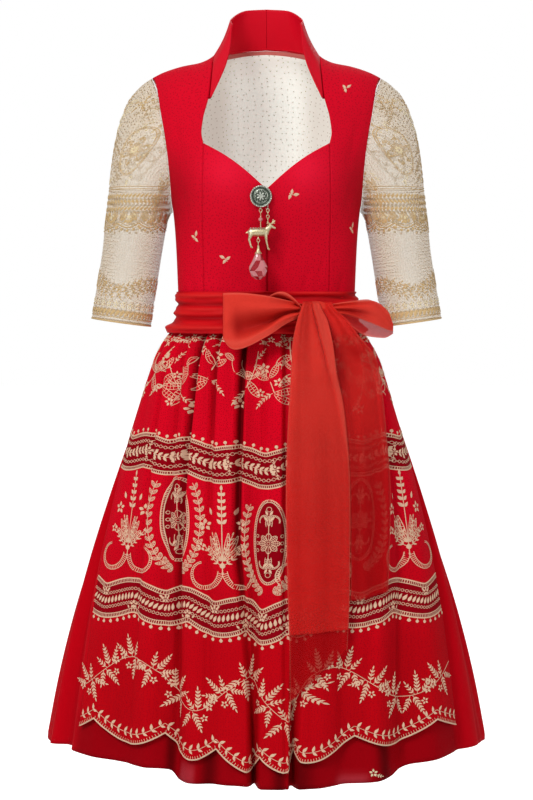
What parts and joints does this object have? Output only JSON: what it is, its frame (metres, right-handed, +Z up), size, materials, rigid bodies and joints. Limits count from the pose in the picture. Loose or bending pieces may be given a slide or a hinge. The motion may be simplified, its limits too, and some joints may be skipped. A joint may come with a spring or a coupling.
{
  "type": "dirndl dress",
  "caption": "Knee-length red dirndl with stand collar, sheer embroidered sleeves, scalloped apron, organza bow sash and a hanging stag charm.",
  "frame": {"origin": "middle of the shoulder line, where the wearer's shoulders hold the dress up", "axes": "+Z up along the dress, -Y to its front, +X to the wearer's left, the side of the bow"},
  "size_m": [0.7091, 0.5853, 1.182],
  "materials": {
    "bodice_jacquard": "matte woven jacquard with fine dark dots",
    "collar_silk": "soft satin sheen",
    "skirt_cloth": "smooth with a low sheen",
    "apron_cloth": "fine woven ground with cream embroidery",
    "sash_organza": "sheer crisp organza",
    "sleeve_tulle": "sheer net with gold-cream embroidery",
    "lining_cotton": "matte cotton with small dots",
    "pewter": "aged bright pewter",
    "gilt": "polished pale gilt",
    "crystal": "clear pink, faceted"
  },
  "bodies": {
    "dress": {"bodice_centre_front_left": "bodice_jacquard", "bodice_side_front_left": "bodice_jacquard", "bodice_centre_front_right": "bodice_jacquard", "bodice_side_front_right": "bodice_jacquard", "bodice_back": "bodice_jacquard", "back_lining": "lining_cotton", "collar": "collar_silk", "sleeve_left": "sleeve_tulle", "sleeve_right": "sleeve_tulle", "skirt_side_front_right": "skirt_cloth", "skirt_front_right": "skirt_cloth", "skirt_front_left": "skirt_cloth", "skirt_side_front_left": "skirt_cloth", "skirt_side_back_left": "skirt_cloth", "skirt_back_left": "skirt_cloth", "skirt_back_right": "skirt_cloth", "skirt_side_back_right": "skirt_cloth", "apron": "apron_cloth", "sash_band": "sash_organza", "bow_knot": "sash_organza", "bow_loop_right": "sash_organza", "bow_loop_left": "sash_organza", "bow_tail_long": "sash_organza", "bow_tail_short": "sash_organza", "button": "pewter"},
    "stag": {"stag_charm": "gilt", "charm_bead": "crystal"},
    "drop": {"drop_cap": "gilt", "drop_crystal": "crystal"}
  },
  "joints": [
    {"name": "stag_swing", "type": "hinge", "parent": "dress", "child": "stag", "pos_m": [-0.009, -0.1258, -0.23496], "axis": [-1, 0, 0], "range_deg": [-5, 70]},
    {"name": "drop_swing", "type": "hinge", "parent": "stag", "child": "drop", "pos_m": [-0.0125, -0.1258, -0.28036], "axis": [-1, 0, 0], "range_deg": [-5, 60]}
  ]
}
